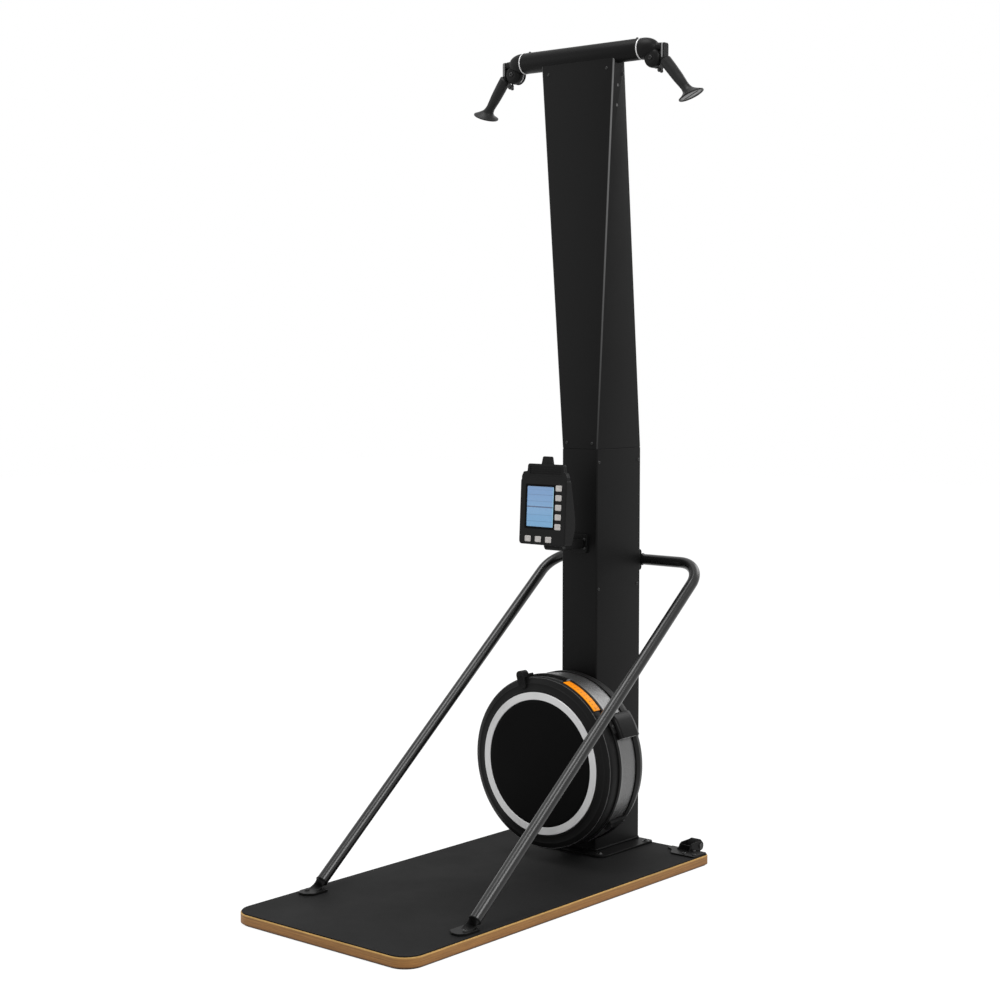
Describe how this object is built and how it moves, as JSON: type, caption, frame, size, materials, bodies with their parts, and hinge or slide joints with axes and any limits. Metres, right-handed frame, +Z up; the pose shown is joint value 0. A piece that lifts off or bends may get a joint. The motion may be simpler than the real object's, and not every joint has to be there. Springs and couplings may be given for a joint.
{
  "type": "ski trainer machine",
  "caption": "Free-standing ski trainer: board, braced column with an air flywheel and monitor, and a top bar whose pulley heads hold corded pull handles.",
  "frame": {"origin": "centre of the overall footprint on the floor, under the rubber at the board's underside", "axes": "+Z up; +X to the right of a user who stands on the board and faces the column; +Y from the user towards the column"},
  "size_m": [0.7702, 1.243, 2.2096],
  "materials": {
    "wood": "clear lacquered edge",
    "mat_rubber": "matt, fine grain",
    "rubber": "matt",
    "black_paint": "satin powder coat",
    "black_plastic": "fine satin grain",
    "bright_ring": "satin bright",
    "steel": "brushed",
    "grille": "satin grey",
    "cord_cover": "braided",
    "orange_film": "printed film",
    "lens": "clear window over a pale blue display",
    "key_rubber": "matt"
  },
  "bodies": {
    "machine": {"base_board": "wood", "anti_slip_mat": "mat_rubber", "rubber_underlay": "rubber", "support_frame": "black_paint", "left_frame_foot": "black_paint", "right_frame_foot": "black_paint", "lower_column": "black_paint", "upper_mast": "black_paint", "top_bar": "black_paint", "guide_bracket": "steel", "inner_bracket": "steel", "return_cord": "cord_cover", "front_bearing": "steel", "rear_bearing": "steel", "front_cover": "black_plastic", "cover_ring": "bright_ring", "air_cage": "grille", "rear_shell": "black_plastic", "scale_strip": "orange_film", "monitor_arm": "black_paint", "left_swivel_ring": "bright_ring", "left_side_cover": "black_plastic", "left_wheel_bracket": "black_paint", "left_drive_cord": "cord_cover", "right_swivel_ring": "bright_ring", "right_side_cover": "black_plastic", "right_wheel_bracket": "black_paint", "right_drive_cord": "cord_cover"},
    "flywheel": {"flywheel_fan": "steel", "drive_axle": "steel"},
    "return_idler": {"return_idler": "black_plastic"},
    "damper": {"damper_ring": "black_plastic"},
    "monitor": {"monitor_body": "black_plastic", "monitor_lens": "lens"},
    "side_key_1": {"side_key_1": "key_rubber"},
    "side_key_2": {"side_key_2": "key_rubber"},
    "side_key_3": {"side_key_3": "key_rubber"},
    "side_key_4": {"side_key_4": "key_rubber"},
    "side_key_5": {"side_key_5": "key_rubber"},
    "low_key_1": {"low_key_1": "key_rubber"},
    "low_key_2": {"low_key_2": "key_rubber"},
    "low_key_3": {"low_key_3": "key_rubber"},
    "left_head": {"left_pulley_head": "black_plastic", "left_head_cord": "cord_cover", "left_pull_cord": "cord_cover"},
    "left_head_sheave": {"left_head_sheave": "steel"},
    "left_cord_stop": {"left_cord_stop": "steel"},
    "left_handle": {"left_handle": "black_plastic"},
    "left_guide_sheave": {"left_guide_sheave": "black_plastic"},
    "left_cord_drum": {"left_cord_drum": "black_plastic"},
    "left_wheel": {"left_wheel": "rubber"},
    "right_head": {"right_pulley_head": "black_plastic", "right_head_cord": "cord_cover", "right_pull_cord": "cord_cover"},
    "right_head_sheave": {"right_head_sheave": "steel"},
    "right_cord_stop": {"right_cord_stop": "steel"},
    "right_handle": {"right_handle": "black_plastic"},
    "right_guide_sheave": {"right_guide_sheave": "black_plastic"},
    "right_cord_drum": {"right_cord_drum": "black_plastic"},
    "right_wheel": {"right_wheel": "rubber"}
  },
  "joints": [
    {"name": "left_head_swivel", "type": "hinge", "parent": "machine", "child": "left_head", "pos_m": [-0.2, 0.3855, 2.181], "axis": [1, 0, 0], "range_deg": [-30, 30]},
    {"name": "left_pull", "type": "slide", "parent": "left_head", "child": "left_cord_stop", "axis": [0, 0, -1], "range_m": [0, 1.2], "stiffness_N_per_m": 20, "springref_m": -0.5, "deforming": ["left_pull_cord"]},
    {"name": "left_handle_swing", "type": "hinge", "parent": "left_cord_stop", "child": "left_handle", "pos_m": [-0.252, 0.3955, 2.1225], "axis": [0, -1, 0], "range_deg": [0, 75]},
    {"name": "left_head_sheave_spin", "type": "hinge", "parent": "left_head", "child": "left_head_sheave", "pos_m": [-0.234, 0.3955, 2.154], "axis": [0, -1, 0], "range_deg": [0, 3830]},
    {"name": "left_guide_sheave_spin", "type": "hinge", "parent": "machine", "child": "left_guide_sheave", "pos_m": [-0.032, 0.3955, 2.154], "axis": [0, -1, 0], "range_deg": [0, 3830]},
    {"name": "left_drum_spin", "type": "hinge", "parent": "machine", "child": "left_cord_drum", "pos_m": [0, 0.4155, 0.3005], "axis": [0, -1, 0], "range_deg": [0, 2760]},
    {"name": "left_wheel_spin", "type": "hinge", "parent": "machine", "child": "left_wheel", "pos_m": [-0.232, 0.6035, 0.041], "axis": [1, 0, 0], "continuous": true},
    {"name": "right_head_swivel", "type": "hinge", "parent": "machine", "child": "right_head", "pos_m": [0.2, 0.3855, 2.181], "axis": [1, 0, 0], "range_deg": [-30, 30]},
    {"name": "right_pull", "type": "slide", "parent": "right_head", "child": "right_cord_stop", "axis": [0, 0, -1], "range_m": [0, 1.2], "stiffness_N_per_m": 20, "springref_m": -0.5, "deforming": ["right_pull_cord"]},
    {"name": "right_handle_swing", "type": "hinge", "parent": "right_cord_stop", "child": "right_handle", "pos_m": [0.252, 0.3955, 2.1225], "axis": [0, 1, 0], "range_deg": [0, 75]},
    {"name": "right_head_sheave_spin", "type": "hinge", "parent": "right_head", "child": "right_head_sheave", "pos_m": [0.234, 0.3955, 2.154], "axis": [0, 1, 0], "range_deg": [0, 3830]},
    {"name": "right_guide_sheave_spin", "type": "hinge", "parent": "machine", "child": "right_guide_sheave", "pos_m": [0.032, 0.3955, 2.154], "axis": [0, 1, 0], "range_deg": [0, 3830]},
    {"name": "right_drum_spin", "type": "hinge", "parent": "machine", "child": "right_cord_drum", "pos_m": [0, 0.4615, 0.3005], "axis": [0, -1, 0], "range_deg": [0, 2760]},
    {"name": "right_wheel_spin", "type": "hinge", "parent": "machine", "child": "right_wheel", "pos_m": [0.232, 0.6035, 0.041], "axis": [1, 0, 0], "continuous": true},
    {"name": "flywheel_spin", "type": "hinge", "parent": "machine", "child": "flywheel", "pos_m": [0, 0.3, 0.3005], "axis": [0, 1, 0], "continuous": true},
    {"name": "return_idler_spin", "type": "hinge", "parent": "machine", "child": "return_idler", "pos_m": [-0.02, 0.4385, 1.0005], "axis": [1, 0, 0], "continuous": true},
    {"name": "damper_turn", "type": "hinge", "parent": "machine", "child": "damper", "pos_m": [0, 0.24, 0.3005], "axis": [0, 1, 0], "range_deg": [0, 30]},
    {"name": "monitor_tilt", "type": "hinge", "parent": "machine", "child": "monitor", "pos_m": [0, 0.2735, 0.879], "axis": [1, 0, 0], "range_deg": [-20, 20]},
    {"name": "side_key_1_press", "type": "slide", "parent": "monitor", "child": "side_key_1", "axis": [0, 0.9976, -0.0698], "range_m": [0, 0.0012], "stiffness_N_per_m": 400, "springref_m": -0.0005},
    {"name": "side_key_2_press", "type": "slide", "parent": "monitor", "child": "side_key_2", "axis": [0, 0.9976, -0.0698], "range_m": [0, 0.0012], "stiffness_N_per_m": 400, "springref_m": -0.0005},
    {"name": "side_key_3_press", "type": "slide", "parent": "monitor", "child": "side_key_3", "axis": [0, 0.9976, -0.0698], "range_m": [0, 0.0012], "stiffness_N_per_m": 400, "springref_m": -0.0005},
    {"name": "side_key_4_press", "type": "slide", "parent": "monitor", "child": "side_key_4", "axis": [0, 0.9976, -0.0698], "range_m": [0, 0.0012], "stiffness_N_per_m": 400, "springref_m": -0.0005},
    {"name": "side_key_5_press", "type": "slide", "parent": "monitor", "child": "side_key_5", "axis": [0, 0.9976, -0.0698], "range_m": [0, 0.0012], "stiffness_N_per_m": 400, "springref_m": -0.0005},
    {"name": "low_key_1_press", "type": "slide", "parent": "monitor", "child": "low_key_1", "axis": [0, 0.9976, -0.0698], "range_m": [0, 0.0012], "stiffness_N_per_m": 400, "springref_m": -0.0005},
    {"name": "low_key_2_press", "type": "slide", "parent": "monitor", "child": "low_key_2", "axis": [0, 0.9976, -0.0698], "range_m": [0, 0.0012], "stiffness_N_per_m": 400, "springref_m": -0.0005},
    {"name": "low_key_3_press", "type": "slide", "parent": "monitor", "child": "low_key_3", "axis": [0, 0.9976, -0.0698], "range_m": [0, 0.0012], "stiffness_N_per_m": 400, "springref_m": -0.0005}
  ],
  "couplings": [
    {"joint": "left_head_sheave_spin", "follows": "left_pull", "rad_per_m": 55.556},
    {"joint": "left_guide_sheave_spin", "follows": "left_pull", "rad_per_m": 55.556},
    {"joint": "left_drum_spin", "follows": "left_pull", "rad_per_m": 40},
    {"joint": "right_head_sheave_spin", "follows": "right_pull", "rad_per_m": 55.556},
    {"joint": "right_guide_sheave_spin", "follows": "right_pull", "rad_per_m": 55.556},
    {"joint": "right_drum_spin", "follows": "right_pull", "rad_per_m": 40}
  ]
}
